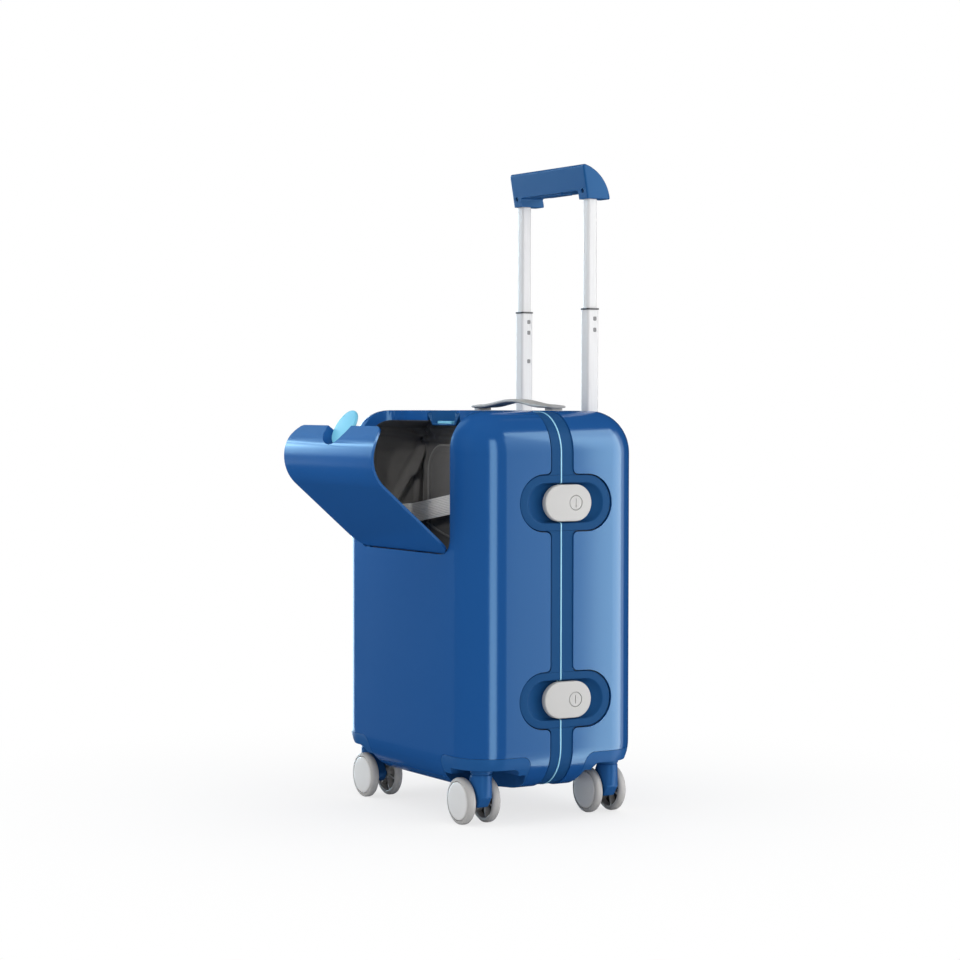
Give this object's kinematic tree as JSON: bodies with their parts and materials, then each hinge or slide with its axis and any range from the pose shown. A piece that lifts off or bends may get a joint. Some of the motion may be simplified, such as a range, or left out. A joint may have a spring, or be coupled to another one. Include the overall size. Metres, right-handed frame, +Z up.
{
  "type": "kids rolling suitcase",
  "caption": "Small hard-shell rolling case for a child, with a fold-down front hatch, side latches, a telescopic trolley handle and twin-wheel casters.",
  "frame": {"origin": "on the ground, under the middle of the whole outline with the hatch open as shown", "axes": "+Z up, -Y towards the side with the hatch, +X towards the side with the latches"},
  "size_m": [0.3448, 0.3424, 0.7785],
  "materials": {
    "blue_shell": "glossy moulded hard shell",
    "blue_matte": "satin moulded plastic",
    "light_blue": "satin moulded plastic",
    "seal": "soft light blue seal",
    "pale_grey": "satin pale grey plastic",
    "strap_plastic": "soft grey strap",
    "black_plastic": "matte black plastic",
    "tube": "satin drawn tube",
    "steel": "plated steel",
    "lining": "woven polyester lining",
    "elastic": "woven elastic webbing",
    "wheel": "pale grey soft tread on a pale grey hub"
  },
  "bodies": {
    "rear_case": {"rear_shell": "blue_shell", "rear_frame": "blue_matte", "gasket": "seal", "rear_lining": "lining", "trolley_bezel": "blue_matte", "trolley_sleeve_left": "black_plastic", "trolley_sleeve_right": "black_plastic", "carry_handle": "strap_plastic", "latch_pin_upper": "steel", "latch_pin_lower": "steel", "case_hinge_rear_leaf_upper": "blue_matte", "case_hinge_rear_leaf_lower": "blue_matte", "case_hinge_pin_upper": "steel", "case_hinge_pin_lower": "steel", "caster_housing_rear_left": "blue_matte", "caster_housing_rear_right": "blue_matte"},
    "front_half": {"front_shell": "blue_shell", "front_frame": "blue_matte", "front_lining": "lining", "divider": "lining", "packing_strap": "elastic", "catch_dish": "blue_matte", "catch_striker": "light_blue", "hatch_rod": "steel", "case_hinge_front_leaf_upper": "blue_matte", "case_hinge_front_leaf_lower": "blue_matte", "caster_housing_front_left": "blue_matte", "caster_housing_front_right": "blue_matte"},
    "hatch": {"hatch_panel": "blue_shell", "button_pin": "steel"},
    "hatch_button": {"thumb_button": "light_blue"},
    "latch_upper": {"latch_cover_upper": "pale_grey"},
    "latch_lower": {"latch_cover_lower": "pale_grey"},
    "lock_upper": {"lock_cylinder_upper": "pale_grey"},
    "lock_lower": {"lock_cylinder_lower": "pale_grey"},
    "lower_stage": {"lower_tube_left": "tube", "lower_tube_right": "tube", "tube_collar_left": "black_plastic", "tube_collar_right": "black_plastic"},
    "upper_stage": {"upper_tube_left": "tube", "upper_tube_right": "tube", "grip": "blue_matte", "grip_screw_left": "steel", "grip_screw_right": "steel"},
    "release": {"release_trigger": "blue_matte", "release_link": "steel"},
    "caster_front_left": {"caster_fork_front_left": "blue_matte"},
    "wheel_front_left_a": {"wheel_front_left_a": "wheel"},
    "wheel_front_left_b": {"wheel_front_left_b": "wheel"},
    "caster_front_right": {"caster_fork_front_right": "blue_matte"},
    "wheel_front_right_a": {"wheel_front_right_a": "wheel"},
    "wheel_front_right_b": {"wheel_front_right_b": "wheel"},
    "caster_rear_left": {"caster_fork_rear_left": "blue_matte"},
    "wheel_rear_left_a": {"wheel_rear_left_a": "wheel"},
    "wheel_rear_left_b": {"wheel_rear_left_b": "wheel"},
    "caster_rear_right": {"caster_fork_rear_right": "blue_matte"},
    "wheel_rear_right_a": {"wheel_rear_right_a": "wheel"},
    "wheel_rear_right_b": {"wheel_rear_right_b": "wheel"}
  },
  "joints": [
    {"name": "case_hinge", "type": "hinge", "parent": "rear_case", "child": "front_half", "pos_m": [-0.1694, 0.0494, 0.26], "axis": [0, 0, 1], "range_deg": [-180, 0]},
    {"name": "hatch_hinge", "type": "hinge", "parent": "front_half", "child": "hatch", "pos_m": [0.0019, -0.06425, 0.3185], "axis": [1, 0, 0], "range_deg": [-49, 0]},
    {"name": "hatch_button_press", "type": "hinge", "parent": "hatch", "child": "hatch_button", "pos_m": [0.0019, -0.16081, 0.43225], "axis": [1, 0, 0], "range_deg": [-6, 0], "stiffness_Nm_per_rad": 0.4, "springref_deg": 2.86},
    {"name": "latch_upper_hinge", "type": "hinge", "parent": "rear_case", "child": "latch_upper", "pos_m": [0.1669, 0.08525, 0.374], "axis": [0, 0, 1], "range_deg": [0, 100]},
    {"name": "latch_lower_hinge", "type": "hinge", "parent": "rear_case", "child": "latch_lower", "pos_m": [0.1669, 0.08525, 0.144], "axis": [0, 0, 1], "range_deg": [0, 100]},
    {"name": "lock_upper_turn", "type": "hinge", "parent": "latch_upper", "child": "lock_upper", "pos_m": [0.1724, 0.06825, 0.374], "axis": [1, 0, 0], "range_deg": [0, 90]},
    {"name": "lock_lower_turn", "type": "hinge", "parent": "latch_lower", "child": "lock_lower", "pos_m": [0.1724, 0.06825, 0.144], "axis": [1, 0, 0], "range_deg": [0, 90]},
    {"name": "lower_stage_slide", "type": "slide", "parent": "rear_case", "child": "lower_stage", "axis": [0, 0, 1], "range_m": [-0.118, 0]},
    {"name": "upper_stage_slide", "type": "slide", "parent": "lower_stage", "child": "upper_stage", "axis": [0, 0, 1], "range_m": [-0.128, 0]},
    {"name": "release_trigger_press", "type": "slide", "parent": "upper_stage", "child": "release", "axis": [0, 0, 1], "range_m": [0, 0.003], "stiffness_N_per_m": 600, "springref_m": -0.001},
    {"name": "caster_front_left_swivel", "type": "hinge", "parent": "front_half", "child": "caster_front_left", "pos_m": [-0.1341, -0.03925, 0.06], "axis": [0, 0, 1], "continuous": true},
    {"name": "wheel_front_left_a_spin", "type": "hinge", "parent": "caster_front_left", "child": "wheel_front_left_a", "pos_m": [-0.1166, -0.05625, 0.0275], "axis": [0, 1, 0], "continuous": true},
    {"name": "wheel_front_left_b_spin", "type": "hinge", "parent": "caster_front_left", "child": "wheel_front_left_b", "pos_m": [-0.1166, -0.02225, 0.0275], "axis": [0, 1, 0], "continuous": true},
    {"name": "caster_front_right_swivel", "type": "hinge", "parent": "front_half", "child": "caster_front_right", "pos_m": [0.1379, -0.03925, 0.06], "axis": [0, 0, 1], "continuous": true},
    {"name": "wheel_front_right_a_spin", "type": "hinge", "parent": "caster_front_right", "child": "wheel_front_right_a", "pos_m": [0.1204, -0.05625, 0.0275], "axis": [0, 1, 0], "continuous": true},
    {"name": "wheel_front_right_b_spin", "type": "hinge", "parent": "caster_front_right", "child": "wheel_front_right_b", "pos_m": [0.1204, -0.02225, 0.0275], "axis": [0, 1, 0], "continuous": true},
    {"name": "caster_rear_left_swivel", "type": "hinge", "parent": "rear_case", "child": "caster_rear_left", "pos_m": [-0.1341, 0.13575, 0.06], "axis": [0, 0, 1], "continuous": true},
    {"name": "wheel_rear_left_a_spin", "type": "hinge", "parent": "caster_rear_left", "child": "wheel_rear_left_a", "pos_m": [-0.1166, 0.11875, 0.0275], "axis": [0, 1, 0], "continuous": true},
    {"name": "wheel_rear_left_b_spin", "type": "hinge", "parent": "caster_rear_left", "child": "wheel_rear_left_b", "pos_m": [-0.1166, 0.15275, 0.0275], "axis": [0, 1, 0], "continuous": true},
    {"name": "caster_rear_right_swivel", "type": "hinge", "parent": "rear_case", "child": "caster_rear_right", "pos_m": [0.1379, 0.13575, 0.06], "axis": [0, 0, 1], "continuous": true},
    {"name": "wheel_rear_right_a_spin", "type": "hinge", "parent": "caster_rear_right", "child": "wheel_rear_right_a", "pos_m": [0.1204, 0.11875, 0.0275], "axis": [0, 1, 0], "continuous": true},
    {"name": "wheel_rear_right_b_spin", "type": "hinge", "parent": "caster_rear_right", "child": "wheel_rear_right_b", "pos_m": [0.1204, 0.15275, 0.0275], "axis": [0, 1, 0], "continuous": true}
  ]
}
